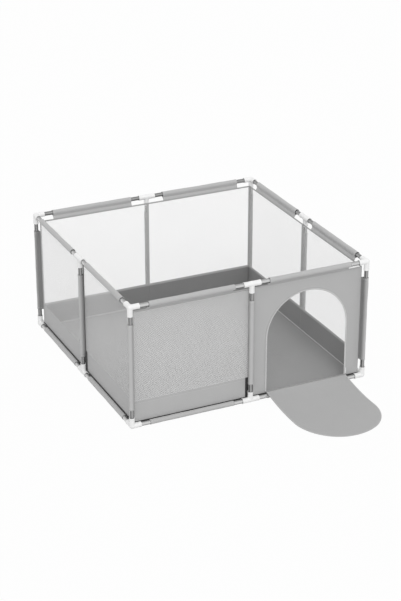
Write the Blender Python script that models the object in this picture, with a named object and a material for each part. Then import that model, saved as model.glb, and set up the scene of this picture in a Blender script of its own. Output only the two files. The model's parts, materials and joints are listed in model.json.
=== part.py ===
"""Square play pen: a push-fit tube frame that holds an open fabric bag with mesh walls.

Metres, +Z up. The origin is the centre of the floor sheet's underside, on the ground.
The front faces -Y. The doorway is in the front's right-hand bay, and its flap lies open.
Every side is built as the front is, then turned about Z by a quarter turn for each side.
"""

import itertools
import math

import bmesh
import bpy
from mathutils import Matrix, Vector

# Driving dimensions
OVERALL_SIDE = 1.200
OVERALL_HEIGHT = 0.606
HUB_SIDE = 0.027            # the connectors' block, where their sockets meet
SOCKET_RADIUS = 0.013
SOCKET_REACH = 0.041        # from the tube axes' crossing to the socket's mouth
TUBE_RADIUS = 0.010
TUBE_WALL = 0.0006
CLOTH = 0.0012              # thickness of every fabric piece
GAP = 0.0003                # left between pieces that touch
WALL_INSET = 0.0155         # from the tube axes in to the fabric walls
WALL_DROP = 0.027           # from the top rails' axis down to the walls' top edge
BAND_HEIGHT = 0.122         # top of the solid lower band
SLEEVE_RADIUS = 0.0127
SLEEVE_BORE = 0.0112
RAIL_SLEEVE_STOP = 0.086    # bare stretch at each end of a rail, from the crossing
POST_SLEEVE_STOP = 0.080
WEB_SHORT = 0.002           # how much shorter than its sleeve a web is, at each end
ARCH_RADIUS = 0.205
ARCH_TOP = 0.4995
SILL_HEIGHT = 0.028
ZIP_WIDTH = 0.010
ZIP_THICKNESS = 0.001
FLAP_HALF_WIDTH = 0.208
FLAP_LENGTH = 0.482
FLAP_HINGE_OUT = 0.008      # the flap's root line, in from the bottom rail's axis
FLAP_HINGE_HEIGHT = 0.028
SLIDER_SIZE = (0.008, 0.004, 0.014)
PULL_SIZE = (0.005, 0.0014, 0.016)

# Worked out from them
SPACING = OVERALL_SIDE - HUB_SIDE            # from tube axis to tube axis, each way
HALF = SPACING / 2
BAY_CENTRE = SPACING / 4
LOW = HUB_SIDE / 2                           # height of the bottom rails' axes
HIGH = OVERALL_HEIGHT - HUB_SIDE / 2         # height of the top rails' axes
WALL = HALF - WALL_INSET                     # mid-plane of the fabric walls
WALL_TOP = HIGH - WALL_DROP
CLOTH_FOOT = CLOTH                           # the walls stand over the floor sheet's seam strip
SEAM_TOP = CLOTH - GAP                       # the strip is pressed thinner than the sheet
TUBE_END = LOW + 0.002                       # where a tube stops inside its socket
BORE_END = LOW + 0.001
BORE_RADIUS = TUBE_RADIUS + 0.0007
ROUND = 12                                   # sides of tubes, sockets and sleeves
ARCH_STEPS = 20
ARCH_SPRING = ARCH_TOP - ARCH_RADIUS

SIDES = ("front", "right", "back", "left")
CORNERS = ("front_left", "front_right", "back_right", "back_left")
BAYS = (
    ("front_left", "front_right"),
    ("right_front", "right_back"),
    ("back_right", "back_left"),
    ("left_back", "left_front"),
)

# finish: colour, roughness, metallic
WHITE_PLASTIC = ((0.86, 0.86, 0.86), 0.35, 0.0)
GREY_TUBE = ((0.55, 0.55, 0.56), 0.35, 1.0)
GREY_CLOTH = ((0.42, 0.42, 0.42), 0.85, 0.0)
MESH_CLOTH = ((0.70, 0.70, 0.70), 0.8, 0.0)
LIGHT_TAPE = ((0.72, 0.72, 0.72), 0.6, 0.0)


def clear_scene():
    for old in list(bpy.data.objects):
        bpy.data.objects.remove(old, do_unlink=True)


def mesh_of(shape, name="shape"):
    bmesh.ops.recalc_face_normals(shape, faces=shape.faces)
    mesh = bpy.data.meshes.new(name)
    shape.to_mesh(mesh)
    shape.free()
    return mesh


def hull(points):
    """The convex solid around a few points."""
    shape = bmesh.new()
    for point in points:
        shape.verts.new(point)
    bmesh.ops.convex_hull(shape, input=shape.verts)
    return mesh_of(shape)


def block(low, high):
    return hull(itertools.product(*zip(low, high)))


def strip(start, end, along):
    """A cloth-thick plate from start to end, carried along a third direction."""
    start, end, along = Vector(start), Vector(end), Vector(along)
    half = (end - start).cross(along).normalized() * CLOTH / 2
    corners = [start + half, start - half, end + half, end - half]
    return hull(corners + [corner + along for corner in corners])


def rod(start, end, radius):
    """A solid round bar with flat ends."""
    start, end = Vector(start), Vector(end)
    turn = (end - start).to_track_quat("Z", "Y").to_matrix().to_4x4()
    shape = bmesh.new()
    bmesh.ops.create_cone(
        shape,
        cap_ends=True,
        segments=ROUND,
        radius1=radius,
        radius2=radius,
        depth=(end - start).length,
        matrix=Matrix.Translation((start + end) / 2) @ turn,
    )
    return mesh_of(shape)


def prism(outline, rise):
    """A flat outline carried along a straight line."""
    shape = bmesh.new()
    face = shape.faces.new([shape.verts.new(point) for point in outline])
    grown = bmesh.ops.extrude_face_region(shape, geom=[face])
    moved = [item for item in grown["geom"] if isinstance(item, bmesh.types.BMVert)]
    bmesh.ops.translate(shape, verts=moved, vec=rise)
    return mesh_of(shape)


def temporary(mesh):
    helper = bpy.data.objects.new("helper", mesh)
    bpy.context.scene.collection.objects.link(helper)
    helper.hide_render = True
    helper.display_type = "WIRE"
    return helper


def fused(parts, cuts=()):
    """One closed mesh: all of the parts joined, less all of the cuts."""
    base = temporary(parts[0])
    helpers = [base]
    steps = [(mesh, "UNION") for mesh in parts[1:]] + [(mesh, "DIFFERENCE") for mesh in cuts]
    for mesh, operation in steps:
        helpers.append(temporary(mesh))
        boolean = base.modifiers.new(operation.title(), "BOOLEAN")
        boolean.operation = operation
        boolean.object = helpers[-1]
        boolean.solver = "EXACT"
    bpy.context.view_layer.update()
    seen = base.evaluated_get(bpy.context.evaluated_depsgraph_get())
    mesh = bpy.data.meshes.new_from_object(seen)
    for helper in helpers:
        bpy.data.objects.remove(helper, do_unlink=True)
    return mesh


def smooth(mesh):
    mesh.shade_smooth()
    mesh.set_sharp_from_angle(angle=math.radians(40))
    return mesh


def finish_of(name, finish):
    colour, roughness, metallic = finish
    material = bpy.data.materials.new(name + "_finish")
    material.use_nodes = True
    shader = material.node_tree.nodes["Principled BSDF"]
    shader.inputs["Base Color"].default_value = (*colour, 1.0)
    shader.inputs["Roughness"].default_value = roughness
    shader.inputs["Metallic"].default_value = metallic
    return material


def place(name, mesh, finish, spot=None):
    """Adds one named piece. Copies share a mesh, so the finish goes on the object's slot."""
    piece = bpy.data.objects.new(name, mesh)
    bpy.context.scene.collection.objects.link(piece)
    piece.matrix_world = spot or Matrix()
    if not mesh.materials:
        mesh.materials.append(None)
    piece.material_slots[0].link = "OBJECT"
    piece.material_slots[0].material = finish_of(name, finish)
    return piece


def turned(side):
    """The turn about Z that carries the front side to this side."""
    return Matrix.Rotation(math.radians(90 * side), 4, "Z")


def tube(length):
    """A hollow round tube on the Z axis, centred, open at both ends."""
    profile = [
        (TUBE_RADIUS, -length / 2),
        (TUBE_RADIUS, length / 2),
        (TUBE_RADIUS - TUBE_WALL, length / 2),
        (TUBE_RADIUS - TUBE_WALL, -length / 2),
    ]
    shape = bmesh.new()
    rings = []
    for step in range(ROUND):
        angle = 2 * math.pi * step / ROUND
        points = [(r * math.cos(angle), r * math.sin(angle), z) for r, z in profile]
        rings.append([shape.verts.new(point) for point in points])
    for step in range(ROUND):
        here, there = rings[step], rings[(step + 1) % ROUND]
        for j in range(4):
            k = (j + 1) % 4
            shape.faces.new((here[j], there[j], there[k], here[k]))
    return smooth(mesh_of(shape))


def connector(directions):
    """A block with one socket in each direction. The tubes push into the sockets."""
    hub = HUB_SIDE / 2
    parts = [block((-hub, -hub, -hub), (hub, hub, hub))]
    cuts = []
    for direction in directions:
        arm = Vector(direction)
        parts.append(rod(arm * hub / 2, arm * SOCKET_REACH, SOCKET_RADIUS))
        cuts.append(rod(arm * BORE_END, arm * (SOCKET_REACH + hub), BORE_RADIUS))
    return smooth(fused(parts, cuts))


def add_connectors():
    top_corner = connector([(1, 0, 0), (0, 1, 0), (0, 0, -1)])
    bottom_corner = connector([(1, 0, 0), (0, 1, 0), (0, 0, 1)])
    top_tee = connector([(1, 0, 0), (-1, 0, 0), (0, 0, -1)])
    bottom_tee = connector([(1, 0, 0), (-1, 0, 0), (0, 0, 1)])
    for side in range(4):
        corner = turned(side) @ Matrix.Translation((-HALF, -HALF, 0))
        middle = turned(side) @ Matrix.Translation((0, -HALF, 0))
        low, high = Matrix.Translation((0, 0, LOW)), Matrix.Translation((0, 0, HIGH))
        place("top_corner_" + CORNERS[side], top_corner, WHITE_PLASTIC, high @ corner)
        place("bottom_corner_" + CORNERS[side], bottom_corner, WHITE_PLASTIC, low @ corner)
        place("top_tee_" + SIDES[side], top_tee, WHITE_PLASTIC, high @ middle)
        place("bottom_tee_" + SIDES[side], bottom_tee, WHITE_PLASTIC, low @ middle)


def add_tubes():
    rail = tube(HALF - 2 * TUBE_END)
    post = tube(HIGH - LOW - 2 * TUBE_END)
    lying = Matrix.Rotation(math.radians(90), 4, "Y")
    for side in range(4):
        for bay, x in zip(BAYS[side], (-BAY_CENTRE, BAY_CENTRE)):
            for level, z in (("top", HIGH), ("bottom", LOW)):
                spot = turned(side) @ Matrix.Translation((x, -HALF, z)) @ lying
                place(f"{level}_rail_{bay}", rail, GREY_TUBE, spot)
        middle_height = (LOW + HIGH) / 2
        corner = Matrix.Translation((-HALF, -HALF, middle_height))
        middle = Matrix.Translation((0, -HALF, middle_height))
        place("corner_post_" + CORNERS[side], post, GREY_TUBE, turned(side) @ corner)
        place("middle_post_" + SIDES[side], post, GREY_TUBE, turned(side) @ middle)


def bay_ends(first):
    """Where a bay's cloth starts and ends along X. Each side laps over the end of the one before."""
    if first:
        return -WALL - CLOTH / 2, -GAP / 2
    return GAP / 2, WALL - CLOTH / 2 - GAP


def wall_plate(first, low, high):
    start, end = bay_ends(first)
    return block((start, -WALL - CLOTH / 2, low), (end, -WALL + CLOTH / 2, high))


def rail_sleeve(first, height, web_end):
    """The pocket round a rail and the web that joins it to the wall, as parts and cuts."""
    centre = -BAY_CENTRE if first else BAY_CENTRE
    reach = HALF / 2 - RAIL_SLEEVE_STOP
    start, end = centre - reach, centre + reach
    pocket = rod((start, -HALF, height), (end, -HALF, height), SLEEVE_RADIUS)
    web_start, web_length = start + WEB_SHORT, end - start - 2 * WEB_SHORT
    web = strip((web_start, -HALF, height), (web_start, -WALL, web_end), (web_length, 0, 0))
    bore = rod((start - GAP, -HALF, height), (end + GAP, -HALF, height), SLEEVE_BORE)
    return [pocket, web], [bore]


def top_sleeve(first):
    return rail_sleeve(first, HIGH, WALL_TOP - CLOTH)


def bottom_sleeve(first):
    return rail_sleeve(first, LOW, LOW)


def post_sleeve(first, web_foot):
    """The pocket round the corner post of a first bay, or the middle post of a second bay."""
    x = -HALF if first else 0.0
    low, high = LOW + POST_SLEEVE_STOP, HIGH - POST_SLEEVE_STOP
    pocket = rod((x, -HALF, low), (x, -HALF, high), SLEEVE_RADIUS)
    bore = rod((x, -HALF, low - GAP), (x, -HALF, high + GAP), SLEEVE_BORE)
    root = -WALL if first else 2 * CLOTH
    tip = x if first else 2 * CLOTH
    foot = web_foot + WEB_SHORT
    web = strip((tip, -HALF, foot), (root, -WALL, foot), (0, 0, high - WEB_SHORT - foot))
    return [pocket, web], [bore]


def mesh_panel(first):
    """Mesh from the lower band up to the top edge, with its top rail's and its post's sleeves."""
    foot = BAND_HEIGHT + GAP
    top_parts, top_cuts = top_sleeve(first)
    post_parts, post_cuts = post_sleeve(first, foot)
    plate = wall_plate(first, foot, WALL_TOP)
    return smooth(fused([plate] + top_parts + post_parts, top_cuts + post_cuts))


def lower_band(first):
    """The solid cloth band at the foot of a mesh panel, with its bottom rail's sleeve."""
    parts, cuts = bottom_sleeve(first)
    return smooth(fused([wall_plate(first, CLOTH_FOOT, BAND_HEIGHT)] + parts, cuts))


def arch(radius, foot, depth):
    """The outline of a round-headed doorway, at one depth, from its right foot round to its left."""
    turns = [math.pi * step / ARCH_STEPS for step in range(ARCH_STEPS + 1)]
    head = [
        (BAY_CENTRE + radius * math.cos(turn), depth, ARCH_SPRING + radius * math.sin(turn))
        for turn in turns
    ]
    return [(BAY_CENTRE + radius, depth, foot)] + head + [(BAY_CENTRE - radius, depth, foot)]


def door_panel():
    """The solid panel of the second front bay, with the doorway cut out of it."""
    parts = [wall_plate(False, CLOTH_FOOT, WALL_TOP)]
    cuts = [prism(arch(ARCH_RADIUS, SILL_HEIGHT, -WALL - CLOTH), (0, 2 * CLOTH, 0))]
    for sleeve in (top_sleeve(False), bottom_sleeve(False), post_sleeve(False, BAND_HEIGHT)):
        parts += sleeve[0]
        cuts += sleeve[1]
    return smooth(fused(parts, cuts))


def add_walls():
    meshes = {first: mesh_panel(first) for first in (True, False)}
    bands = {first: lower_band(first) for first in (True, False)}
    for side in range(4):
        for bay, first in zip(BAYS[side], (True, False)):
            if bay != "front_right":
                place("mesh_panel_" + bay, meshes[first], MESH_CLOTH, turned(side))
                place("lower_band_" + bay, bands[first], GREY_CLOTH, turned(side))
    place("door_panel", door_panel(), GREY_CLOTH)


def add_floor():
    """One sheet, with a thinner strip round its edge where the walls are sewn to it."""
    edge = WALL + CLOTH / 2
    inner = WALL - CLOTH / 2 - GAP
    strip = block((-edge, -edge, 0), (edge, edge, SEAM_TOP))
    middle = block((-inner, -inner, SEAM_TOP / 2), (inner, inner, CLOTH))
    place("floor_sheet", smooth(fused([strip, middle])), GREY_CLOTH)


def add_zip():
    """The zip's tape round the doorway, and its slider at the foot of the right-hand side."""
    face = -WALL - CLOTH / 2 - GAP
    foot = SILL_HEIGHT + ZIP_WIDTH / 2
    outer = arch(ARCH_RADIUS + ZIP_WIDTH, foot, face - ZIP_THICKNESS)
    inner = arch(ARCH_RADIUS + GAP, foot - ZIP_WIDTH, face - 2 * ZIP_THICKNESS)
    tape = prism(outer, (0, ZIP_THICKNESS, 0))
    hole = prism(inner, (0, 3 * ZIP_THICKNESS, 0))
    place("door_zip", fused([tape], [hole]), LIGHT_TAPE)

    width, depth, height = SLIDER_SIZE
    pull_width, pull_depth, pull_height = PULL_SIZE
    body = block((-width / 2, -depth / 2, 0), (width / 2, depth / 2, height))
    pull = block(
        (-pull_width / 2, -depth / 2 + GAP, height / 2),
        (pull_width / 2, -depth / 2 + GAP + pull_depth, height + pull_height),
    )
    spot = (
        BAY_CENTRE + ARCH_RADIUS + ZIP_WIDTH / 2,
        face - ZIP_THICKNESS - GAP - depth / 2,
        foot + GAP,
    )
    place("zip_slider", fused([body, pull]), LIGHT_TAPE, Matrix.Translation(spot))


def add_flap():
    """The door's cloth, folded out over the bottom rail, with its origin on its root line."""
    straight = FLAP_LENGTH - FLAP_HALF_WIDTH
    turns = [math.pi * step / ARCH_STEPS for step in range(ARCH_STEPS + 1)]
    head = [
        (FLAP_HALF_WIDTH * math.cos(turn), -straight - FLAP_HALF_WIDTH * math.sin(turn), -CLOTH / 2)
        for turn in turns
    ]
    outline = [(FLAP_HALF_WIDTH, 0, -CLOTH / 2)] + head + [(-FLAP_HALF_WIDTH, 0, -CLOTH / 2)]
    slope = math.asin((FLAP_HINGE_HEIGHT - CLOTH) / FLAP_LENGTH)
    spot = Matrix.Translation((BAY_CENTRE, -HALF + FLAP_HINGE_OUT, FLAP_HINGE_HEIGHT))
    place("door_flap", prism(outline, (0, 0, CLOTH)), GREY_CLOTH, spot @ Matrix.Rotation(slope, 4, "X"))


clear_scene()
add_connectors()
add_tubes()
add_walls()
add_floor()
add_zip()
add_flap()
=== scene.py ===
import json
import math

import bmesh
import bpy
import numpy as np
from mathutils import Matrix, Vector


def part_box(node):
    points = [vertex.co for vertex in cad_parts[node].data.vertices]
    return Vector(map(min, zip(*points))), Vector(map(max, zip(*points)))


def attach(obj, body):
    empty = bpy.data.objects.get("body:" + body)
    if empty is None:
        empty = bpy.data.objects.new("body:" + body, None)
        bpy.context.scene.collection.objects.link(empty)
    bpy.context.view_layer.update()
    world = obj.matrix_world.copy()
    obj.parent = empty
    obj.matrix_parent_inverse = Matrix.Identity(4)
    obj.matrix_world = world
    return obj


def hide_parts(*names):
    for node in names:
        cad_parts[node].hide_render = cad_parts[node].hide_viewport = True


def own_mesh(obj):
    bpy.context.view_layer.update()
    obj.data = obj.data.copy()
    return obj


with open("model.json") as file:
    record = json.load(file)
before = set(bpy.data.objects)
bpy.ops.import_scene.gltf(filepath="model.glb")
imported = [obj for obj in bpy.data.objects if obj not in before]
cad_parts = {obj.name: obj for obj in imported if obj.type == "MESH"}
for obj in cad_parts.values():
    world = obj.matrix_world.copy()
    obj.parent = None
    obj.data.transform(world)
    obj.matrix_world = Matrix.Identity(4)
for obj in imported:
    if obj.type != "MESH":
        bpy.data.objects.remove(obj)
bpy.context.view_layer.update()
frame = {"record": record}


# Where things are, read from the frame
def boxOf(node):
    low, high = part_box(node)
    return np.array(low), np.array(high)


def middleOf(node):
    low, high = boxOf(node)
    return (low + high) / 2


half = -middleOf("corner_post_front_left")[0]  # from the pen's middle to the tubes' axes
tubeRadius = np.ptp(boxOf("corner_post_front_left"), axis=0)[0] / 2
lowAxis = middleOf("bottom_rail_front_left")[2]
highAxis = middleOf("top_rail_front_left")[2]
clothSolid = boxOf("floor_sheet")[1][2]
wall = boxOf("floor_sheet")[1][0] - clothSolid / 2  # from the pen's middle to the cloth walls
bandTop = boxOf("lower_band_front_left")[1][2]
socketReach = boxOf("top_corner_front_left")[1][0] + half
postSleeveFoot = boxOf("mesh_panel_front_left")[0][2]
postSleeveHead = lowAxis + highAxis - postSleeveFoot
zipBox = boxOf("door_zip")
flapBox = boxOf("door_flap")
bayMiddle = middleOf("door_zip")[0]

sides = ("front", "right", "back", "left")
corners = ("front_left", "front_right", "back_right", "back_left")
bays = (
    ("front_left", "front_right"),
    ("right_front", "right_back"),
    ("back_right", "back_left"),
    ("left_back", "left_front"),
)
doorBay = "front_right"


# Mesh helpers. A shape is a grid of points, and its faces join neighbouring rows and columns.
def stacked(*parts):
    return np.stack(np.broadcast_arrays(*parts), -1)


def gridFaces(rows, columns, closed=False):
    # quads whose normal is the row direction crossed with the column direction
    i = np.arange(rows - 1)[:, None]
    j = np.arange(columns if closed else columns - 1)[None, :]
    k = (j + 1) % columns
    corners4 = [i * columns + j, (i + 1) * columns + j, (i + 1) * columns + k, i * columns + k]
    return np.stack(corners4, -1).reshape(-1, 4)


def turned(points, side):
    # the front side's points, turned a quarter round the Z axis for each side
    c, s = (1, 0, -1, 0)[side], (0, 1, 0, -1)[side]
    x, y, z = points[..., 0], points[..., 1], points[..., 2]
    return stacked(c * x - s * y, s * x + c * y, z)


def unit(vectors):
    vectors = np.asarray(vectors, float)
    return vectors / np.linalg.norm(vectors, axis=-1, keepdims=True)


def makePiece(name, shape, looks, stitch=None, body="pen", thickness=0.0,
        merge=False, crease=40):
    # one object, of points, faces and uv, that rides on a body. The last look is for a thickened
    # sheet's inner face, and edges bent by more than crease degrees stay sharp
    points, faces, uv = shape
    points = np.asarray(points, float).reshape(-1, 3)
    faceList = [row for block in faces for row in block.tolist()]
    mesh = bpy.data.meshes.new(name)
    mesh.from_pydata(points.tolist(), [], faceList)
    corner = np.empty(len(mesh.loops), np.int32)
    mesh.loops.foreach_get("vertex_index", corner)
    for mapName, values in (("cloth", uv), ("stitch", stitch)):
        if values is not None:
            layer = mesh.uv_layers.new(name=mapName)
            layer.data.foreach_set("uv", np.asarray(values, np.float32).reshape(-1, 2)[corner].ravel())
    piece = bpy.data.objects.new(name, mesh)
    bpy.context.scene.collection.objects.link(piece)
    for look in looks:
        mesh.materials.append(look)
    if merge:
        mergePoints(mesh)
    mesh.shade_smooth()
    mesh.set_sharp_from_angle(angle=math.radians(crease))
    if thickness:
        shell = piece.modifiers.new("Solidify", "SOLIDIFY")
        shell.thickness, shell.offset = thickness, 0.0
        shell.material_offset = len(looks) - 1
    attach(piece, body)
    return piece


def mergePoints(mesh):
    # joins points that share a place, and turns all faces outwards
    work = bmesh.new()
    work.from_mesh(mesh)
    bmesh.ops.remove_doubles(work, verts=work.verts, dist=1e-6)
    bmesh.ops.dissolve_degenerate(work, edges=work.edges, dist=1e-7)
    bmesh.ops.recalc_face_normals(work, faces=work.faces)
    work.to_mesh(mesh)
    work.free()


def ripple(a, b, seed, wave, height, count=7):
    # a sum of sine waves in seeded directions and phases, about height high and wave long
    draw = np.random.default_rng(seed)
    total = np.zeros(np.broadcast(a, b).shape)
    for _ in range(count):
        way, phase, size = draw.uniform(0, 2 * math.pi, 2).tolist() + [draw.uniform(0.6, 1.6)]
        run = a * math.cos(way) + b * math.sin(way)
        total = total + np.sin(run * 2 * math.pi / (wave * size) + phase)
    return total * height / math.sqrt(count)


def carried(profile, centres, across, along):
    # a profile of (a, b) pairs carried along a path: centre + a * across + b * (across x along)
    a, b = profile[None, :, :1], profile[None, :, 1:]
    return centres[:, None, :] + a * across[:, None, :] + b * np.cross(across, along)[:, None, :]


def lengthAlong(path):
    # the distance from a path's first point to each of its points
    return np.concatenate([[0], np.cumsum(np.linalg.norm(np.diff(path, axis=0), axis=1))])


def eased(path, rounds):
    # corner cutting: each inner point gives way to two points a quarter along its edges
    for _ in range(rounds):
        a, b = path[:-1], path[1:]
        cut = np.stack([0.75 * a + 0.25 * b, 0.25 * a + 0.75 * b], 1).reshape(-1, path.shape[1])
        path = np.concatenate([path[:1], cut[1:-1], path[-1:]])
    return path


def tapeMesh(path, across, width, thickness, closed=False, count=16, power=5.0):
    # a flat oval, |x|^p + |y|^p = 1 stretched to width and thickness, carried along a path
    path = np.asarray(path, float)
    along = unit(np.gradient(path, axis=0))
    if closed:
        along = unit(np.roll(path, -1, 0) - np.roll(path, 1, 0))
    across = np.broadcast_to(np.asarray(across, float), path.shape)
    across = unit(across - along * np.sum(across * along, -1, keepdims=True))
    turn = np.arange(count) / count * 2 * math.pi
    c, s = np.cos(turn), np.sin(turn)
    profile = np.stack([np.sign(c) * np.abs(c) ** (2 / power) * width / 2,
            np.sign(s) * np.abs(s) ** (2 / power) * thickness / 2], 1)
    points = carried(profile, path, across, along)
    n = len(path)
    run = lengthAlong(path)
    uv = stacked(run[:, None], profile[None, :, 0])
    if closed:
        points = np.concatenate([points, points[:1]])
        uv = np.concatenate([uv, uv[-1:]])
        n += 1
    faces = [gridFaces(n, count, True)]
    points, uv = points.reshape(-1, 3), uv.reshape(-1, 2)
    if not closed:
        faces += [np.arange(count)[None, ::-1], ((n - 1) * count + np.arange(count))[None, :]]
    return points, faces, uv


def joined(parts):
    # several meshes, each of points, faces and uv, as one
    points, faces, uv, start = [], [], [], 0
    for p, f, t in parts:
        points.append(np.asarray(p).reshape(-1, 3))
        uv.append(np.asarray(t).reshape(-1, 2))
        faces += [block + start for block in f]
        start += len(points[-1])
    return np.concatenate(points), faces, np.concatenate(uv)


# Shader helpers
class Wire:
    # a shader socket that takes part in sums, each of which adds a Math node
    def __init__(self, board, socket):
        self.board, self.socket = board, socket

    def __add__(self, other):
        return self.board.math("ADD", self, other)

    def __sub__(self, other):
        return self.board.math("SUBTRACT", self, other)

    def __rsub__(self, other):
        return self.board.math("SUBTRACT", other, self)

    def __mul__(self, other):
        return self.board.math("MULTIPLY", self, other)

    __radd__ = __add__
    __rmul__ = __mul__


class Board:
    # one material's nodes, round a Principled shader
    def __init__(self, name):
        self.material = bpy.data.materials.new(name)
        self.material.use_nodes = True
        self.tree = self.material.node_tree
        self.shader = self.tree.nodes["Principled BSDF"]

    def join(self, socket, value):
        if isinstance(value, Wire):
            self.tree.links.new(value.socket, socket)
        elif socket.type == "RGBA":
            socket.default_value = (*value, 1.0)
        else:
            socket.default_value = value

    def node(self, kind, settings=None, sockets=None, out=0):
        made = self.tree.nodes.new(kind)
        for key, value in (settings or {}).items():
            setattr(made, key, value)
        for key, value in (sockets or {}).items():
            self.join(made.inputs[key], value)
        return Wire(self, made.outputs[out])

    def math(self, operation, *values):
        return self.node("ShaderNodeMath", {"operation": operation}, dict(enumerate(values)))

    def clamped(self, value):
        return self.node("ShaderNodeMath", {"operation": "ADD", "use_clamp": True}, {0: value, 1: 0.0})

    def finish(self, **sockets):
        for key, value in sockets.items():
            self.join(self.shader.inputs[key.replace("_", " ")], value)
        return self.material

    def mixed(self, factor, first, second):
        return self.node("ShaderNodeMix", {"data_type": "RGBA"}, {0: factor, 6: first, 7: second}, 2)

    def noise(self, scale, detail=3.0):
        place = self.node("ShaderNodeTexCoord", out="Object")
        return self.node("ShaderNodeTexNoise", {}, {"Vector": place, "Scale": scale, "Detail": detail})

    def mapped(self, name):
        flat = self.node("ShaderNodeUVMap", {"uv_map": name})
        return [self.node("ShaderNodeSeparateXYZ", {}, {0: flat}, out) for out in (0, 1)]

    def bump(self, height, distance, strength):
        return self.node("ShaderNodeBump", {}, {"Height": height, "Distance": distance, "Strength": strength})


def shade(grey, by=1.0):
    # a grey written as the value seen, from 0 to 1, as the linear colour that the shader takes
    linear = grey / 12.92 if grey <= 0.04045 else ((grey + 0.055) / 1.055) ** 2.4
    return (linear * by,) * 3


clothValues = {
    "wallGrey": 0.708,  # the bands' and the door's outer face
    "liningGrey": 0.525,  # their inner face
    "floorGrey": 0.575,
    "sleeveGrey": 0.715,
    "postSleeveGrey": 0.73,
    "webGrey": 0.50,  # painted shade on the post sleeves, where they turn in towards the wall and lie in shade
    "webFrom": 0.007,  # that painted shade's start and length, round the sleeve from its outermost line
    "webOver": 0.016,
    "shadeGrey": 0.18,  # painted shade: dark sheets on the wall behind the posts and round the foot, in the creases that lie in shade
    "bindingGrey": 0.68,
    "hemGrey": 0.70,
    "flapGrey": 0.67,
    "pipingGrey": 0.90,
    "seamGrey": 0.77,
    "weavePitch": 0.0011,
    "stitchPitch": 0.0042,
    "stitchWidth": 0.00045,
}


def clothLook(name, grey, stitched=False, roughness=0.86, contrast=0.10, depth=0.00010, darker=None):
    # a plain weave, sin(u) * sin(v), under soft clouds and slubs. darker names the grey of painted shade
    # that it turns to away from v = 0, and stitched adds dashes of thread along the second map's axis
    board = Board(name)
    grey = clothValues[grey]
    u, v = board.mapped("cloth")
    k = 2 * math.pi / clothValues["weavePitch"]
    warp = board.math("SINE", u * k)
    weft = board.math("SINE", v * k)
    weave = warp * weft * 0.5 + 0.5  # over and under in turn
    cloud = board.noise(14.0)
    slub = board.noise(420.0, 2.0)
    tone = weave * 0.45 + cloud * 0.30 + slub * 0.25
    colour = board.mixed(tone, shade(grey, 1 - contrast), shade(grey, 1 + contrast))
    height = weave * 0.8 + slub * 0.35
    # painted shade: the colour turns to the darker grey away from v = 0
    if darker is not None:
        far = board.math("ABSOLUTE", v) - clothValues["webFrom"]
        colour = board.mixed(board.clamped(far * (1 / clothValues["webOver"])), colour,
                shade(clothValues[darker]))
    if stitched:
        along, off = board.mapped("stitch")
        nearLine = board.math("LESS_THAN", board.math("ABSOLUTE", off), clothValues["stitchWidth"])
        dash = board.math("LESS_THAN", board.math("FRACT", along * (1 / clothValues["stitchPitch"])), 0.66)
        thread = nearLine * dash
        colour = board.mixed(thread * 0.7, colour, shade(min(grey + 0.14, 1.0)))
        height = height + thread * 2.0
    return board.finish(Base_Color=colour, Roughness=roughness - weave * 0.05, Sheen_Weight=0.25,
            Sheen_Roughness=0.5, Normal=board.bump(height, depth, 0.6))


def netLook():
    board = Board("knitted_net")
    u, v = board.mapped("cloth")
    strand = board.math("SINE", (u + v) * (2 * math.pi / 0.0007)) * 0.5 + 0.5
    return board.finish(Base_Color=shade(0.965), Roughness=0.8, Sheen_Weight=0.2,
            Normal=board.bump(strand, 0.00012, 0.7))


def plasticLook():
    board = Board("moulded_plastic")
    cloud = board.noise(30.0)
    pores = board.noise(900.0, 2.0)
    colour = board.mixed(cloud, shade(0.925), shade(0.965))
    return board.finish(Base_Color=colour, Roughness=0.34 + pores * 0.10, Coat_Weight=0.08,
            Normal=board.bump(pores, 0.00004, 0.35))


# each painted reflection's angle round the tube, how narrow it is, and how dark or, below zero, how pale a
# painted highlight it is
steelValues = {"streaks": ((0.0, 60.0, 0.85), (-0.9, 9.0, -0.8), (1.7, 16.0, 0.55), (-2.6, 30.0, 0.5))}


def steelLook():
    # coated tube: grey, with painted reflections and highlights as streaks along it, each of them ((1 +
    # cos(angle - turn)) / 2) ^ narrow
    board = Board("coated_tube")
    u, v = board.mapped("cloth")
    place = board.node("ShaderNodeCombineXYZ", {}, {0: u * 8.0, 1: v * 700.0})
    drawn = board.node("ShaderNodeTexNoise", {}, {"Vector": place, "Scale": 1.0, "Detail": 2.0})
    scuffs = board.noise(60.0, 4.0)
    angle = v * (1 / tubeRadius) + (drawn - 0.5) * 0.12
    dark, pale = 0.0, 0.0
    # painted reflections: dark streaks, and pale painted highlights, round the tube
    for turn, narrow, amount in steelValues["streaks"]:
        peak = board.math("POWER", board.math("COSINE", angle - turn) * 0.5 + 0.5, narrow) * abs(amount)
        dark, pale = (peak + dark, pale) if amount > 0 else (dark, peak + pale)
    colour = board.mixed(drawn * 0.7 + scuffs * 0.3, shade(0.58), shade(0.68))
    # the painted highlights, then the dark painted reflections
    colour = board.mixed(board.clamped(pale), colour, shade(0.84))
    colour = board.mixed(board.clamped(dark), colour, shade(0.10))
    return board.finish(Base_Color=colour, Metallic=0.85, Roughness=0.20 + drawn * 0.12,
            Normal=board.bump(drawn, 0.00003, 0.4))


def coilLook():
    board = Board("zip_coil")
    pores = board.noise(700.0, 2.0)
    return board.finish(Base_Color=board.mixed(pores, shade(0.84), shade(0.93)), Roughness=0.42,
            Normal=board.bump(pores, 0.00004, 0.3))


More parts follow.
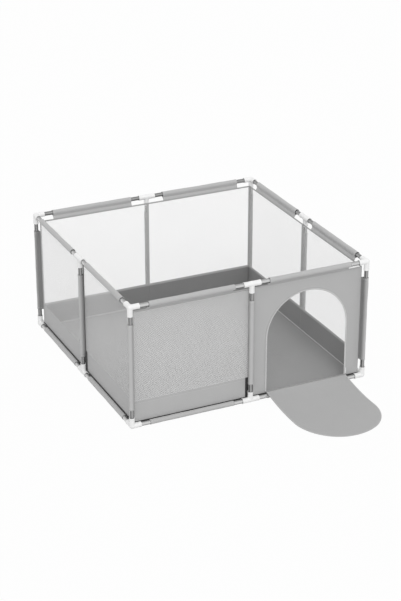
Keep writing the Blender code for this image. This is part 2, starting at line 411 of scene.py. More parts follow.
wallLook = clothLook("wall_cloth", "wallGrey", stitched=True)
liningLook = clothLook("lining_cloth", "liningGrey", stitched=True, contrast=0.07)
floorLook = clothLook("floor_cloth", "floorGrey", contrast=0.07)
sleeveLook = clothLook("sleeve_cloth", "sleeveGrey", stitched=True)
# the post sleeves, with painted shade on the side that turns in towards the wall
postSleeveLook = clothLook("post_sleeve_cloth", "postSleeveGrey", stitched=True,
        darker="webGrey")
# painted shade, laid on the wall in the creases behind the posts and round the foot
paintedShadeLook = clothLook("dark_tape", "shadeGrey", contrast=0.08)
hemLook = clothLook("hem_tape", "hemGrey", contrast=0.08)
bindingLook = clothLook("binding_tape", "bindingGrey", contrast=0.08)
pipingLook = clothLook("light_piping", "pipingGrey", contrast=0.04, roughness=0.6)
seamLook = clothLook("floor_seam_piping", "seamGrey", contrast=0.06)
flapLook = clothLook("flap_cloth", "flapGrey", stitched=True)
netCloth = netLook()
plastic = plasticLook()
steel = steelLook()
coil = coilLook()
print("looks made")


# Tubes: a hollow round section with eased ends, turned about its axis
tubeValues = {
    "wall": 0.0012,
    "chamfer": 0.0004,
    "sides": 48,
    "rows": 12,
    # where the angle round a tube starts, and so where its painted reflections lie: a post's direction, and a
    # rail's outward and up shares
    "postStart": (-0.79, -0.61, 0.0),
    "railStart": (0.82, -0.57),
}


def tubeMesh(start, end):
    # the section's outline, down the outside and back up the bore, spun about the line from start to end
    start, end = np.asarray(start, float), np.asarray(end, float)
    along = unit(end - start)
    length = np.linalg.norm(end - start)
    outer, inner, c = tubeRadius, tubeRadius - tubeValues["wall"], tubeValues["chamfer"]
    steps = np.linspace(c, length - c, tubeValues["rows"])
    outline = np.concatenate([
        [(outer - c, 0.0)], np.stack([np.full_like(steps, outer), steps], 1),
        [(outer - c, length), (inner, length), (inner, 0.0), (outer - c, 0.0)],
    ])
    turn = np.linspace(0, 2 * math.pi, tubeValues["sides"] + 1)
    if along[2] > 0.5:
        side = unit(tubeValues["postStart"])
    else:
        out, up = tubeValues["railStart"]
        outward = np.abs(np.cross(along, (0, 0, 1))) * start
        side = unit(unit(outward) * out + (0, 0, up))
    other = np.cross(along, side)
    if other[2] > 0:
        other = -other  # so that, round a rail, the angle always grows downwards
    spoke = np.cos(turn)[:, None] * side + np.sin(turn)[:, None] * other
    points = start + outline[None, :, :1] * spoke[:, None, :] + outline[None, :, 1:] * along
    uv = stacked(outline[None, :, 1], turn[:, None] * outer)
    return points, [gridFaces(len(turn), len(outline))], uv


def addTube(node):
    low, high = boxOf(node)
    axis = int(np.argmax(high - low))
    start, end = (low + high) / 2, (low + high) / 2
    start[axis], end[axis] = low[axis], high[axis]
    piece = makePiece(node + "_tube", tubeMesh(start, end), [steel], merge=True)
    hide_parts(node)


for side in range(4):
    for bay in bays[side]:
        addTube("top_rail_" + bay)
        addTube("bottom_rail_" + bay)
    addTube("corner_post_" + corners[side])
    addTube("middle_post_" + sides[side])
print("tubes made")


# Connectors: round arms that run into one another with small fillets
connectorValues = {
    "radius": 0.0123,
    "collar": 0.0006,  # how much prouder the mouth's collar is
    "collarLength": 0.007,
    "collarRise": 0.0012,
    "fillet": 0.0024,
    "hub": 0.0090,
    "taper": 0.08,  # how much smaller each arm's round end is than the arm
    "lip": 0.0007,
    "boreGap": 0.0006,  # between the bore and the tube
    "boreEdge": 0.0005,
    "boreDepth": 0.026,
    "around": 48,
    "rows": 26,
}


def outsideOf(points, arms):
    # how far outside the connector a point is: distance to each arm's axis less its radius, and
    # to the hub's ball, joined by a smooth minimum
    v = connectorValues
    gaps = [np.linalg.norm(points, axis=-1) - v["hub"]]
    for arm in arms:
        t = points @ arm
        spread = np.linalg.norm(points - np.maximum(t, 0)[..., None] * arm, axis=-1)
        rise = np.clip((t - (socketReach - v["collarLength"])) / v["collarRise"], 0, 1)
        slim = 1 - v["taper"] * np.clip(-t / v["radius"], 0, 1)
        gaps.append(spread - v["radius"] * slim - v["collar"] * rise * rise * (3 - 2 * rise))
    gaps = np.stack(gaps)
    k = v["fillet"] / 2.2
    least = gaps.min(0)
    return least - k * np.log(np.exp(-(gaps - least) / k).sum(0))


def connectorMesh(arms):
    # for each arm, rows run from its mouth to where its neighbours begin. A row's point lies on the
    # ray from the hub's middle, where outsideOf() is nought; the mouth's lip and bore are rings
    v = connectorValues
    arms = [np.asarray(arm, float) for arm in arms]
    parts = []
    for arm in arms:
        first = np.roll(np.abs(arm), 1)
        second = np.cross(arm, first)
        turn = np.arange(v["around"]) / v["around"] * 2 * math.pi
        spoke = np.cos(turn)[:, None] * first + np.sin(turn)[:, None] * second
        others = [other for other in arms if abs(other @ arm) < 0.5]
        nearest = np.max([spoke @ other for other in others], axis=0)
        limit = np.arctan2(1.0, nearest)
        if any(other @ arm < -0.5 for other in arms):
            limit = np.minimum(limit, math.pi / 2)
        mouth = -(socketReach - v["lip"])
        ending = np.where(limit < math.pi / 2, -v["radius"] / np.tan(np.minimum(limit, 1.57)),
                v["radius"] * (limit - math.pi / 2))
        share = np.linspace(0, 1, v["rows"])
        run = mouth + share[:, None] * (ending[None, :] - mouth)
        back = np.maximum(run, 0) / v["radius"]
        aimAlong = np.where(run < 0, -run, -v["radius"] * np.sin(back))
        aimOut = v["radius"] * np.cos(back)
        aim = aimAlong[..., None] * arm + aimOut[..., None] * spoke[None]
        direction = unit(aim)
        near, far = np.zeros(run.shape), np.full(run.shape, 0.09)
        for _ in range(34):
            centre = (near + far) / 2
            out = outsideOf(direction * centre[..., None], arms) > 0
            near, far = np.where(out, near, centre), np.where(out, centre, far)
        body = direction * ((near + far) / 2)[..., None]
        rimOut = np.linalg.norm(body[0] - (body[0] @ arm)[:, None] * arm, axis=1)[0]
        ease = np.linspace(0, math.pi / 2, 5)[1:]
        bore, boreEnd = tubeRadius + v["boreGap"], socketReach - v["boreDepth"]
        rings = [(rimOut - v["lip"] * (1 - math.cos(e)), socketReach - v["lip"] * (1 - math.sin(e)))
                for e in ease]
        rings += [(bore + v["boreEdge"], socketReach), (bore, socketReach - v["boreEdge"]),
                (bore, boreEnd), (0.0, boreEnd)]
        inward = np.array(rings)[::-1]
        mouthPoints = inward[:, None, :1] * spoke[None] + inward[:, None, 1:] * arm
        points = np.concatenate([mouthPoints, body])
        uv = np.zeros(points.shape[:2] + (2,))
        parts.append((points, [gridFaces(len(points), v["around"], True)], uv))
    return joined(parts)


def addConnector(node, arms, place):
    points, faces, uv = connectorMesh(arms)
    points = points + place
    points[:, 2] = np.maximum(points[:, 2], 0.0)  # a bottom connector stands flat on the ground
    piece = makePiece(node + "_moulding", (points, faces, uv), [plastic],
            merge=True, crease=50)
    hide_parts(node)


for side in range(4):
    for level, height, upright in (("top", highAxis, -1), ("bottom", lowAxis, 1)):
        cornerArms = turned(np.array([(1, 0, 0), (0, 1, 0), (0, 0, upright)], float), side)
        teeArms = turned(np.array([(1, 0, 0), (-1, 0, 0), (0, 0, upright)], float), side)
        cornerPlace = turned(np.array((-half, -half, height)), side)
        teePlace = turned(np.array((0.0, -half, height)), side)
        addConnector(f"{level}_corner_{corners[side]}", cornerArms, cornerPlace)
        addConnector(f"{level}_tee_{sides[side]}", teeArms, teePlace)
print("connectors made")


# Sleeves: cloth pockets round the tubes, each sewn shut beside its tube and then on to the wall
sleeveValues = {
    "postRadius": 0.0114,
    "bottomRadius": 0.0110,
    "radius": 0.0122,
    "seam": 0.0168,  # from the tube's axis to the stitching that closes the pocket
    "layerGap": 0.0007,
    "thickness": 0.0006,
    "railStop": 0.086,  # from the connector's middle to where a rail's sleeve starts
    "hem": 0.010,
    "hemRise": 0.0004,
    "wrinkle": 0.00045,
    "drop": 0.027,  # from the top rail's axis down to the wall's top edge
    "footHeight": 0.0022,
}
wallTop = highAxis - sleeveValues["drop"]


def pocketProfile(reach, radius):
    # out along one layer of the flange, round the tube on the lines that touch it, and back
    v = sleeveValues
    seam = min(v["seam"], reach - 0.0006)
    touch = math.acos(radius / seam)
    turn = np.linspace(touch, 2 * math.pi - touch, 40)
    ring = np.stack([np.cos(turn), np.sin(turn)], 1) * radius
    lift = v["layerGap"] / 2
    layer = np.stack([np.linspace(reach, seam, 6), np.full(6, lift)], 1)
    slope = layer[-1] + np.linspace(0, 1, 5)[1:-1, None] * (ring[0] - layer[-1])
    oneSide = np.concatenate([layer, slope])
    return eased(np.concatenate([oneSide, ring, oneSide[::-1] * (1, -1)]), 1)


def sleeveMesh(start, end, tip, seed, radius):
    # the pocket's profile carried from start to end, with its flange towards tip; slack cloth
    # waves in and out round the tube, and each end has a hem that stands a little proud
    v = sleeveValues
    start, end, tip = (np.asarray(p, float) for p in (start, end, tip))
    length = np.linalg.norm(end - start)
    rows = max(int(length / 0.006), 24)
    share = np.linspace(0, 1, rows)
    along = np.broadcast_to(unit(end - start), (rows, 3))
    lean = tip - start
    lean = lean - along[0] * (lean @ along[0])
    reach = np.linalg.norm(lean)
    across = np.broadcast_to(unit(lean), (rows, 3))
    profile = pocketProfile(reach, radius)
    centres = start + share[:, None] * (end - start)
    points = carried(profile, centres, across, along)
    outward = points - centres[:, None, :]
    away = np.linalg.norm(outward, axis=-1)
    onTube = np.clip((v["seam"] - away) / (v["seam"] - radius), 0, 1)
    run = share[:, None] * length
    girth = lengthAlong(profile)[None, :]
    fromEnd = np.minimum(run, length - run)
    hem = v["hemRise"] * np.clip((v["hem"] - fromEnd) / 0.001 + 0.5, 0, 1)
    slack = (ripple(run, girth, seed, 0.16, v["wrinkle"])
            + ripple(run, girth * 2.5, seed + 7, 0.05, v["wrinkle"] * 0.35))
    # the last rows are held in by the hem
    lift = slack * np.clip(fromEnd / 0.03, 0.15, 1) * onTube + hem * onTube
    points = points + outward / away[..., None] * lift[..., None]
    uv = stacked(run, girth - girth[0, -1] / 2)
    stitch = stacked(girth + 0 * run, fromEnd - v["hem"] * 0.8)
    return points, [gridFaces(rows, len(profile))], uv, stitch, girth[0, -1]


def addSleeve(name, start, end, tip, side, seed, radius=sleeveValues["radius"], look=sleeveLook):
    start, end, tip = (turned(np.array(p, float), side) for p in (start, end, tip))
    points, faces, uv, stitch, girth = sleeveMesh(start, end, tip, seed, radius)
    piece = makePiece(name, (points, faces, uv), [look], stitch=stitch,
            thickness=sleeveValues["thickness"], crease=60)
    float(np.linalg.norm(end - start))
    return piece


for side in range(4):
    for bay, sign in zip(bays[side], (-1, 1)):
        inner, outer = sign * sleeveValues["railStop"], sign * (half - sleeveValues["railStop"])
        x0, x1 = min(inner, outer), max(inner, outer)
        seed = 100 + side * 10 + (sign > 0)
        addSleeve(
            f"top_sleeve_{bay}", (x0, -half, highAxis), (x1, -half, highAxis), (x0, -wall, wallTop),
            side, seed)
        addSleeve(
            f"bottom_sleeve_{bay}", (x0, -half, lowAxis), (x1, -half, lowAxis),
            (x0, -wall, sleeveValues["footHeight"]), side, seed + 40,
            sleeveValues["bottomRadius"])
    for kind, spot, x, tipX, seed in (("corner", corners[side], -half, -wall, 300),
            ("middle", sides[side], 0, 0, 320)):
        addSleeve(f"{kind}_sleeve_{spot}", (x, -half, postSleeveFoot), (x, -half, postSleeveHead),
            (tipX, -wall, postSleeveFoot), side, seed + side,
            sleeveValues["postRadius"], postSleeveLook)
print("sleeves made")


# Walls. A bay's wall waves a little in and out; net, band and tapes all follow the same waves.
wallValues = {
    "slack": 0.0011,
    "netPitch": 0.0064,
    "netRib": 0.0014,
    "netSag": 0.0014,
    "bindingWidth": 0.0075,
    "hemWidth": 0.0115,
    "tapeThickness": 0.0016,
    "edgeTape": 0.0065,
    "footTape": 0.0215,  # painted shade round the foot, in the crease above the bottom sleeves: its height
    "stripAcross": (0.012, 0.040),  # painted shade behind a middle post, in the crease beside it: its width at the net, at the band
    # how far outside the wall the painted shade sheets lie
    "stripRise": 0.0009,
    "darkTape": 0.0007,  # the painted shade sheets' thickness
    "netMargin": 0.004,  # left free at each end of a bay's net
    "thickness": 0.0008,
    "foot": 0.0016,
}


def wallOffset(x, z, side):
    # how far in or out the cloth lies: waves that die out at the posts, at the foot and at the top
    ends = np.clip(np.minimum(np.abs(x), wall - np.abs(x)) / 0.10, 0, 1)
    heights = np.clip(np.minimum(z - 0.004, wallTop - z) / 0.09, 0, 1)
    held = ends * ends * (3 - 2 * ends) * heights
    return ripple(x, z * 0.7, 500 + side, 0.42, wallValues["slack"]) * held


def onWall(x, z, side, rise=0.0):
    x, z = np.broadcast_arrays(np.asarray(x, float), np.asarray(z, float))
    y = -wall - wallOffset(x, z, side) - rise
    return turned(stacked(x, y, z), side)


def bayRange(sign):
    return (-wall, 0.0) if sign < 0 else (0.0, wall)


def hexNet(width, height, pitch, rib):
    # a honeycomb of ribs. Every knot is a triangle and every rib a quad between two knots;
    # a knot's corners lie rib / sqrt(3) from its middle, between its ribs
    columns, rows = int(round(width / pitch)), int(round(height / (pitch * math.sqrt(0.75))))
    sx, sy = width / (columns + 0.5), height / rows
    edge = pitch / math.sqrt(3)
    j, c = np.meshgrid(np.arange(rows), np.arange(columns), indexing="ij")
    ax, ay = (c + 0.5 * (j % 2) + 0.25) * sx, (j + 0.1) * sy
    corner = rib / math.sqrt(3)
    bend = sy / (pitch * math.sqrt(0.75))

    def knot(x, y, degrees):
        a = np.radians(degrees)
        return np.stack([x[..., None] + corner * np.cos(a), y[..., None] + corner * np.sin(a)], -1)

    lower = knot(ax, ay, (150, 270, 30))
    upper = knot(ax, ay + edge * bend, (330, 90, 210))
    points = np.concatenate([lower.reshape(-1, 2), upper.reshape(-1, 2)])
    count = rows * columns
    a = (j * columns + c) * 3
    b = a + count * 3
    faces3 = [np.stack([a, a + 1, a + 2], -1).reshape(-1, 3), np.stack([b, b + 1, b + 2], -1).reshape(-1, 3)]
    faces4 = [np.stack([a, a + 2, b, b + 2], -1).reshape(-1, 4)]
    odd = j % 2
    for shift, left in ((-1, True), (0, False)):
        column = c + shift + odd
        ok = (j > 0) & (column >= 0) & (column < columns)
        low = (((j - 1) * columns + column) * 3 + count * 3)[ok]
        top = a[ok]
        corners4 = [top, low + 1, low, top + 1] if left else [top + 1, low + 2, low + 1, top + 2]
        faces4.append(np.stack(corners4, -1))
    return points, faces3 + faces4


def addNet(bay, sign, side):
    # a bay's honeycomb, which sags in and out by a ripple that dies out at its edges. Its share of
    # thread is 1 - (1 - rib / pitch) squared
    v = wallValues
    x0, x1 = bayRange(sign)
    margin = v["netMargin"]
    width, height = x1 - x0 - 2 * margin, wallTop - bandTop
    flat, faces = hexNet(width, height - 0.004, v["netPitch"], v["netRib"])
    x, z = flat[:, 0] + x0 + margin, flat[:, 1] + bandTop - 0.002
    sag = ripple(x, z, 700 + side * 2 + (sign > 0), 0.22, v["netSag"])
    sag = sag * np.clip(np.minimum(np.abs(x), wall - np.abs(x)) / 0.06, 0, 1)
    sag = sag * np.clip(np.minimum(z - bandTop, wallTop - z) / 0.05, 0, 1)
    piece = makePiece(f"net_{bay}", (onWall(x, z, side, sag), faces, flat), [netCloth],
            crease=180)
    coverage = 1 - (1 - v["netRib"] / v["netPitch"]) ** 2
    coverage * width * height
    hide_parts(f"mesh_panel_{bay}")


def addBand(bay, sign, side):
    # the solid cloth from the floor to the band's top, a grid of x and z laid on the wall
    v = wallValues
    x0, x1 = bayRange(sign)
    x, z = np.meshgrid(np.linspace(x0, x1, 110), np.linspace(v["foot"], bandTop, 30), indexing="ij")
    points = onWall(x, z, side)
    uv = stacked(x, z)
    stitch = stacked(x, np.minimum(bandTop - z - 0.013, z - 0.012))
    piece = makePiece(f"band_{bay}", (points, [gridFaces(*x.shape)], uv), [wallLook, liningLook],
            stitch=stitch, thickness=v["thickness"])
    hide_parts(f"lower_band_{bay}")
    return piece, (x1 - x0, bandTop - v["foot"])


def horizontalTape(x0, x1, z, side, width, rise=0.0, thickness=wallValues["tapeThickness"]):
    return tapeMesh(onWall(np.linspace(x0, x1, 80), z, side, rise), (0, 0, 1), width, thickness)


def verticalTape(x, z0, z1, side, width, rise=0.0, thickness=wallValues["tapeThickness"] * 0.8):
    sideways = turned(np.array((1.0, 0, 0)), side)
    return tapeMesh(onWall(x, np.linspace(z0, z1, 60), side, rise), sideways, width, thickness)


def addPostShade(side):
    # painted shade: a dark strip behind a side's middle post, where the crease beside the post lies in shade,
    # wider at the band than at the net
    v = wallValues
    atNet, atBand = v["stripAcross"]
    lie = v["stripRise"], v["darkTape"]
    return addTape(f"post_painted_shade_{sides[side]}",
            [verticalTape(0.0, bandTop, wallTop - 0.001, side, atNet, *lie),
            verticalTape(0.0, v["foot"] + 0.001, bandTop, side, atBand, *lie)], paintedShadeLook)


def addTape(name, parts, look):
    return makePiece(name, joined(parts), [look], crease=60)


for side in range(4):
    strip = addPostShade(side)
    for bay, sign in zip(bays[side], (-1, 1)):
        v = wallValues
        x0, x1 = bayRange(sign)
        # painted shade: a dark sheet round each bay's foot, where the crease above the bottom sleeve lies in
        # shade
        foot = addTape(f"foot_painted_shade_{bay}",
                [horizontalTape(x0, x1, v["foot"] + v["footTape"] / 2, side, v["footTape"],
                v["stripRise"], v["darkTape"])], paintedShadeLook)
        wide = v["bindingWidth"]
        top = addTape(f"top_binding_{bay}",
                [horizontalTape(x0, x1, wallTop - wide / 2, side, wide)], bindingLook)
        if bay == doorBay:
            continue
        wide = v["hemWidth"]
        hem = addTape(f"band_hem_{bay}",
                [horizontalTape(x0, x1, bandTop - wide / 2 + 0.001, side, wide)], hemLook)
        inset = v["edgeTape"] / 2
        edges = addTape(f"net_edges_{bay}",
                [verticalTape(x0 + inset, bandTop, wallTop, side, v["edgeTape"]),
                verticalTape(x1 - inset, bandTop, wallTop, side, v["edgeTape"])], hemLook)
        addNet(bay, sign, side)
        band, size = addBand(bay, sign, side)
        [hem, edges, top, foot] + ([strip] if sign < 0 else [])
print("walls made")


# The door panel, with the doorway cut out of it
doorValues = {
    "zipWidth": 0.010,
    "zipThickness": 0.0012,
    "piping": 0.0030,
    "toothPitch": 0.0022,
    "toothSize": (0.0016, 0.0030, 0.0013),
    "tapeRise": 0.0013,  # how far outside the wall's middle each of them lies
    "pipingRise": 0.0002,
    "toothRise": 0.0019,
    "pipingInset": 0.0004,  # from the doorway's edge out to each of them
    "toothInset": 0.0035,
}
doorRadius = (zipBox[1][0] - zipBox[0][0]) / 2 - doorValues["zipWidth"]
archSpring = zipBox[1][2] - doorValues["zipWidth"] - doorRadius
joints = {j["name"]: j for j in frame["record"]["behaviour"]["joints"]}
hinge = np.array(joints["flap_fold"]["pos_m"], float)
sill = hinge[2]


def archPath(radius, foot, steps=140):
    # up one side, round a half circle and down the other, at even steps of length
    rise = archSpring - foot
    total = 2 * rise + math.pi * radius
    s = np.linspace(0, total, steps)
    turn = np.clip((s - rise) / radius, 0, math.pi)
    x = bayMiddle + radius * np.cos(turn)
    z = archSpring + radius * np.sin(turn)
    z = np.where(s < rise, foot + s, np.where(s > total - rise, foot + total - s, z))
    return x, z


def raysTo(angles, inside):
    # for rays at these angles from the doorway's middle, how far they run before leaving a shape
    near, far = np.zeros(len(angles)), np.full(len(angles), 1.0)
    for _ in range(40):
        centre = (near + far) / 2
        within = inside(bayMiddle + centre * np.cos(angles), archSpring + centre * np.sin(angles))
        near, far = np.where(within, centre, near), np.where(within, far, centre)
    return (near + far) / 2


def addDoorPanel():
    # rows run from the doorway's edge out to the panel's edge, along rays from the arch's middle
    v = wallValues
    corner = [(0.0, v["foot"]), (wall, v["foot"]), (wall, wallTop), (0.0, wallTop),
            (bayMiddle - doorRadius, sill), (bayMiddle + doorRadius, sill)]
    marks = [math.atan2(z - archSpring, x - bayMiddle) for x, z in corner]
    angles = np.sort(np.concatenate([np.linspace(-math.pi, math.pi, 361)[:-1] + 1e-4, marks]))
    inner = raysTo(angles, lambda x, z: (z > sill) & (np.abs(x - bayMiddle) < doorRadius)
            & ((z < archSpring) | (np.hypot(x - bayMiddle, z - archSpring) < doorRadius)))
    outer = raysTo(angles, lambda x, z: (x > 0) & (x < wall) & (z > v["foot"]) & (z < wallTop))
    share = np.linspace(0, 1, 26)[:, None]
    far = inner + share * (outer - inner)
    x, z = bayMiddle + far * np.cos(angles), archSpring + far * np.sin(angles)
    points = onWall(x, z, 0)
    uv = stacked(x, z)
    offLine = np.minimum((far - inner) - 0.014, (outer - inner) * (1 - share) - 0.010)
    stitch = stacked(angles[None] * 0.3, offLine)
    piece = makePiece("door_panel_cloth", (points, [gridFaces(*x.shape, True)], uv),
            [wallLook, liningLook], stitch=stitch, thickness=v["thickness"])
    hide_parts("door_panel")
    height = wallTop - v["foot"]
    opening = 2 * doorRadius * (archSpring - sill) + math.pi * doorRadius ** 2 / 2
    wall * height - opening


def addDoorTrim():
    # the zip's tape round the doorway, and a bead of piping along its edge
    v = doorValues
    x, z = archPath(doorRadius + v["zipWidth"] / 2, sill)
    path = onWall(x, z, 0, v["tapeRise"])
    middle = np.array((bayMiddle, 0, archSpring))
    spread = path - middle
    spread[:, 1] = 0
    spread[:, 2] = np.maximum(spread[:, 2], 0)
    tape = tapeMesh(path, unit(spread), v["zipWidth"], v["zipThickness"])
    zipTape = makePiece("zip_tape", tape, [hemLook], crease=60)
    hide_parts("door_zip")
    x, z = archPath(doorRadius + v["pipingInset"], sill)
    edge = onWall(x, z, 0, v["pipingRise"])
    bead = tapeMesh(edge, unit(spread), v["piping"], v["piping"], count=12, power=2.0)
    makePiece("doorway_piping", bead, [pipingLook], crease=80)


def toothRow(path, inward, outward):
    # small blocks set along a path, each with its top narrowed
    w, l, h = doorValues["toothSize"]
    along = unit(np.gradient(path, axis=0))
    box = np.array([(a, b, c) for c in (0, 1) for a, b in ((-1, -1), (1, -1), (1, 1), (-1, 1))], float)
    box[4:, :2] *= 0.72
    shape = box * (w / 2, l / 2, h)
    frameOf = np.stack([along, inward, outward], 1)
    points = path[:, None, :] + np.einsum("kj,njm->nkm", shape, frameOf)
    quads = np.array([(3, 2, 1, 0), (4, 5, 6, 7), (0, 1, 5, 4), (1, 2, 6, 5), (2, 3, 7, 6), (3, 0, 4, 7)])
    faces = (np.arange(len(path))[:, None, None] * 8 + quads).reshape(-1, 4)
    return points, [faces], np.zeros((points.size // 3, 2))


def addTeeth():
    v = doorValues
    length = 2 * (archSpring - sill) + math.pi * doorRadius
    x, z = archPath(doorRadius + v["toothInset"], sill + 0.002, int(length / v["toothPitch"]))
    path = onWall(x, z, 0, v["toothRise"])
    middle = np.stack([np.full_like(x, bayMiddle), np.zeros_like(x), np.minimum(z, archSpring)], 1)
    inward = middle - path
    inward[:, 1] = 0
    outward = np.broadcast_to(np.array((0.0, -1.0, 0.0)), path.shape)
    row = toothRow(path, unit(inward), outward)
    makePiece("zip_teeth", row, [coil], merge=True, crease=30)


addDoorPanel()
addDoorTrim()
addTeeth()
print("door made")


# The zip's slider: a waisted body and a thin pull
sliderValues = {
    "bodyShare": 0.46,  # of the slider's height
    "waist": 0.30,  # how much narrower the body's middle is
    "around": 28,
    "pullWidth": 0.0048,
    "pullThickness": 0.0012,
    "pullInset": 0.0008,
}


def addSlider():
    # the body is an oval whose half width changes with height; the pull is a flat oval
    v = sliderValues
    low, high = boxOf("zip_slider")
    centre = (low + high) / 2
    bodyHeight = (high[2] - low[2]) * v["bodyShare"]
    t = np.linspace(0, 1, 24)
    ends = np.sqrt(np.clip(1 - (2 * t - 1) ** 8, 0.05, 1))
    waist = 0.5 * (1 - v["waist"] * np.sin(math.pi * t) ** 2) * ends
    turn = np.arange(v["around"]) / v["around"] * 2 * math.pi
    width, depth = high[0] - low[0], high[1] - low[1]
    c, s = np.cos(turn), np.sin(turn)
    ox, oy = np.sign(c) * np.abs(c) ** 0.5, np.sign(s) * np.abs(s) ** 0.5
    body = stacked(
        centre[0] + waist[:, None] * width * ox,
        centre[1] + 0.42 * depth * oy * (waist[:, None] * 2) ** 0.5,
        low[2] + t[:, None] * bodyHeight)
    foot, head = (np.broadcast_to(row.mean(1, keepdims=True), row.shape) for row in (body[:1], body[-1:]))
    body = np.concatenate([foot, body, head])
    parts = [(body, [gridFaces(len(body), v["around"], True)], np.zeros((body.size // 3, 2)))]
    pullUp = np.linspace(low[2] + bodyHeight * 0.6, high[2], 20)
    pullPath = np.stack([np.full(20, centre[0]), np.full(20, low[1] + v["pullInset"]), pullUp], 1)
    parts.append(tapeMesh(pullPath, (1, 0, 0), v["pullWidth"], v["pullThickness"], power=3.5))
    piece = makePiece("zip_pull", joined(parts), [coil], body="slider",
            merge=True, crease=45)
    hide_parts("zip_slider")


addSlider()
print("slider made")


# The floor sheet, lying on the ground with a few soft creases, and the piping in its seam
floorValues = {
    "height": 0.0007,
    "crease": 0.00088,
    "wave": 0.30,
    "piping": 0.0044,
    "pipingInset": 0.0026,
    "pipingHeight": 0.0036,
    "thickness": 0.0006,
}


def addFloor():
    # the creases are the square of two ripples' sizes, and die out towards the walls
    v = floorValues
    edge = wall - 0.0006
    x, y = np.meshgrid(np.linspace(-edge, edge, 190), np.linspace(-edge, edge, 190), indexing="ij")
    held = np.clip((edge - np.maximum(np.abs(x), np.abs(y))) / 0.08, 0, 1)
    swell = np.abs(ripple(x, y, 900, v["wave"], 1.0))
    swell = swell + 0.4 * np.abs(ripple(x, y, 901, v["wave"] / 3, 1.0))
    z = v["height"] + v["crease"] * (swell / 1.6) ** 2 * held
    points = stacked(x, y, z)
    piece = makePiece("floor_cloth", (points, [gridFaces(*x.shape)], points[..., :2]), [floorLook],
            thickness=v["thickness"])
    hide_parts("floor_sheet")
    inset = wall - v["pipingInset"]
    run = np.linspace(-inset, inset, 60)[:-1]
    oneSide = np.stack([run, np.full_like(run, -inset), np.full_like(run, v["pipingHeight"])], 1)
    loop = np.concatenate([turned(oneSide, side) for side in range(4)])
    bead = tapeMesh(loop, (0, 0, 1), v["piping"], v["piping"], closed=True, count=12, power=2.0)
    piping = makePiece("floor_seam", bead, [seamLook], merge=True, crease=80)


addFloor()
print("floor made")


# The door's cloth: folded out over the bottom rail and down on to the ground
flapValues = {
    "ground": 0.0016,
    "landing": 0.240,  # how far past the hinge it reaches the ground
    "overlap": 0.006,
    "wave": 0.24,
    "waveHeight": 0.0012,
    "thickness": 0.0008,
    "rim": 0.0065,
    "rimThickness": 0.0018,
    "rimRise": 0.0005,
    "folded": 0.06,  # the share of its relief that it keeps when closed
}


def flapHalfWidth(s, radius, straight, least=0):
    # straight sided as far as straight, then a half circle
    rest = radius ** 2 - np.maximum(s - straight, 0) ** 2
    return np.where(s < straight, radius, np.sqrt(np.clip(rest, least, None)))


def flapShape(s, v, radius, length):
    # s is the length along the cloth from its root, v runs from -1 to 1 across it. Across, the cloth
    # is straight sided and ends in a half circle. Down, it falls to the ground as (1 - t) squared.
    g = flapValues
    x = bayMiddle + v * flapHalfWidth(s, radius, length - radius)
    out = np.linspace(0, length, 600)
    lip = hinge[1] + half  # the hinge line lies this far in from the rail's axis
    t = np.clip((out - lip) / g["landing"], 0, 1)
    fall = g["ground"] + (hinge[2] - g["ground"]) * (1 - t) ** 2
    run = lengthAlong(np.stack([out, fall], 1))
    outAt, zAt = np.interp(s, run, out), np.interp(s, run, fall)
    wave = ripple(x, s, 950, g["wave"], g["waveHeight"]) + 0.5 * g["waveHeight"]
    lie = np.clip((s - g["landing"]) / 0.10, 0, 1)
    return np.stack([x, hinge[1] - outAt, zAt + np.clip(wave, 0, None) * lie], -1)


def addFlap():
    g = flapValues
    radius = (flapBox[1][0] - flapBox[0][0]) / 2
    length = (hinge[1] - flapBox[0][1]) + g["overlap"]
    turn = np.linspace(0, math.pi / 2, 34)
    straight = length - radius
    s = np.concatenate([np.linspace(0, straight, 46)[:-1], straight + radius * np.sin(turn)])
    s, v = np.broadcast_arrays(s[:, None], np.linspace(-1, 1, 71)[None, :])
    points = flapShape(s, v, radius, length)
    uv = stacked(points[..., 0], s)
    wide = flapHalfWidth(s, radius, straight)
    rim = np.minimum((1 - np.abs(v)) * wide, radius - np.hypot(v * wide, np.maximum(s - straight, 0)))
    stitch = stacked(s + np.abs(v) * 0.2, rim - 0.009)
    cloth = makePiece("flap_cloth", (points, [gridFaces(*s.shape)[:, ::-1]], uv), [flapLook, flapLook],
            stitch=stitch, body="flap", thickness=g["thickness"])
    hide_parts("door_flap")
    # the zip's other half, sewn round the flap's edge
    around = np.linspace(0, 1, 220)
    total = 2 * straight + math.pi * radius
    d = around * total
    bend = np.clip((d - straight) / radius, 0, math.pi)
    inset = g["rim"] / 2
    back = np.where(d > straight + math.pi * radius, total - d, straight + (radius - inset) * np.sin(bend))
    es = np.where(d < straight, d, back)
    ex = (radius - inset) * np.cos(bend)
    wideAt = flapHalfWidth(es, radius, straight, 1e-9)
    path = flapShape(es, ex / wideAt, radius, length) + (0, 0, g["rimRise"])
    outwards = np.stack([np.cos(bend), -np.sin(bend), np.zeros_like(bend)], 1)
    rimTape = tapeMesh(path, outwards, g["rim"], g["rimThickness"])
    tape = makePiece("flap_rim_tape", rimTape, [hemLook], body="flap", crease=60)
    slope = unit(np.array([0.0, -length, flapBox[0][2] + 0.0006 - hinge[2]]))
    for piece in (cloth, tape):
        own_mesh(piece)


addFlap()
print("flap made")


# Floor, light and camera
stageValues = {
    "size": 9.0,
    "below": 0.0004,  # how far under the pen the floor lies
    "floorShare": 0.03,
    "floorGrey": 0.60,
    "ambient": 0.80,
    "sun": 0.95,
    "sunFrom": (-0.08, -0.25, 0.17),
    "sunAngle": 45.0,  # degrees across, which makes its shadows soft
}
viewValues = {
    "azimuth": -25.16,
    "elevation": 24.745,
    "distance": 7.981,
    "lens": 99.9,
    "aimRight": 0.0219,
    "aimUp": -0.0368,
    "aimHeight": 0.29325,  # above the bottom rails' axes
}


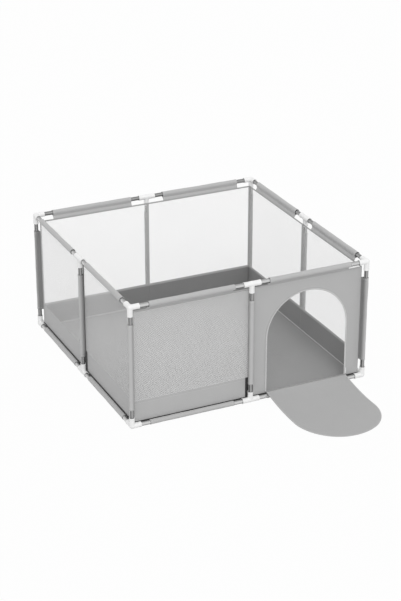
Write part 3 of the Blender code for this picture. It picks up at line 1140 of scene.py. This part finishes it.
def whiteTo(tree, shaded, share):
    # what the camera, a gloss or a clear part sees is mostly white; all else sees the shader.
    # The mix is the largest of those three kinds of ray, times share
    path = tree.nodes.new("ShaderNodeLightPath")
    seen = path.outputs["Is Camera Ray"]
    for operation, other in (("MAXIMUM", "Is Glossy Ray"), ("MAXIMUM", "Is Transmission Ray"),
            ("MULTIPLY", share)):
        node = tree.nodes.new("ShaderNodeMath")
        node.operation = operation
        tree.links.new(seen, node.inputs[0])
        if operation == "MAXIMUM":
            tree.links.new(path.outputs[other], node.inputs[1])
        else:
            node.inputs[1].default_value = other
        seen = node.outputs[0]
    mix = tree.nodes.new("ShaderNodeMixShader")
    tree.links.new(seen, mix.inputs[0])
    tree.links.new(shaded, mix.inputs[1])
    return mix


def addStage():
    mesh = bpy.data.meshes.new("studio_floor")
    size, below = stageValues["size"], stageValues["below"]
    ends = [(-size, -size), (size, -size), (size, size), (-size, size)]
    mesh.from_pydata([(x, y, -below) for x, y in ends], [], [(0, 1, 2, 3)])
    floor = bpy.data.objects.new("studio_floor", mesh)
    bpy.context.scene.collection.objects.link(floor)
    material = bpy.data.materials.new("studio_floor")
    material.use_nodes = True
    tree = material.node_tree
    shader = tree.nodes["Principled BSDF"]
    shader.inputs["Base Color"].default_value = (stageValues["floorGrey"],) * 3 + (1,)
    shader.inputs["Roughness"].default_value = 0.9
    glow = tree.nodes.new("ShaderNodeEmission")
    glow.inputs["Strength"].default_value = 1.0
    mix = whiteTo(tree, shader.outputs[0], 1 - stageValues["floorShare"])
    tree.links.new(glow.outputs[0], mix.inputs[2])
    tree.links.new(mix.outputs[0], tree.nodes["Material Output"].inputs["Surface"])
    mesh.materials.append(material)

    world = bpy.data.worlds.new("studio")
    bpy.context.scene.world = world
    world.use_nodes = True
    tree = world.node_tree
    dome = tree.nodes["Background"]
    dome.inputs["Color"].default_value = (1, 1, 1, 1)
    dome.inputs["Strength"].default_value = stageValues["ambient"]
    backdrop = tree.nodes.new("ShaderNodeBackground")
    backdrop.inputs["Color"].default_value = (1, 1, 1, 1)
    backdrop.inputs["Strength"].default_value = 1.0
    mix = whiteTo(tree, dome.outputs[0], 1.0)
    tree.links.new(backdrop.outputs[0], mix.inputs[2])
    tree.links.new(mix.outputs[0], tree.nodes["World Output"].inputs["Surface"])


def addSun():
    lamp = bpy.data.lights.new("sun", "SUN")
    lamp.energy, lamp.angle = stageValues["sun"], math.radians(stageValues["sunAngle"])
    holder = bpy.data.objects.new("sun", lamp)
    bpy.context.scene.collection.objects.link(holder)
    holder.rotation_euler = Vector(stageValues["sunFrom"]).to_track_quat("Z", "Y").to_euler()


def addCamera():
    v = viewValues
    a, e = math.radians(v["azimuth"]), math.radians(v["elevation"])
    back = np.array((math.sin(a) * math.cos(e), -math.cos(a) * math.cos(e), math.sin(e)))
    right = np.array((math.cos(a), math.sin(a), 0.0))
    up = np.cross(back, right)
    place = right * v["aimRight"] + up * v["aimUp"] + back * v["distance"]
    place = place + (0, 0, lowAxis + v["aimHeight"])
    camera = bpy.data.cameras.new("camera")
    camera.lens, camera.sensor_width, camera.sensor_fit = v["lens"], 36.0, "AUTO"
    holder = bpy.data.objects.new("camera", camera)
    bpy.context.scene.collection.objects.link(holder)
    turn = np.eye(4)
    turn[:3, 0], turn[:3, 1], turn[:3, 2], turn[:3, 3] = right, up, back, place
    holder.matrix_world = Matrix(turn.tolist())
    bpy.context.scene.camera = holder


addStage()
addSun()
addCamera()
bpy.context.scene.view_settings.view_transform = "Standard"
print("stage made")
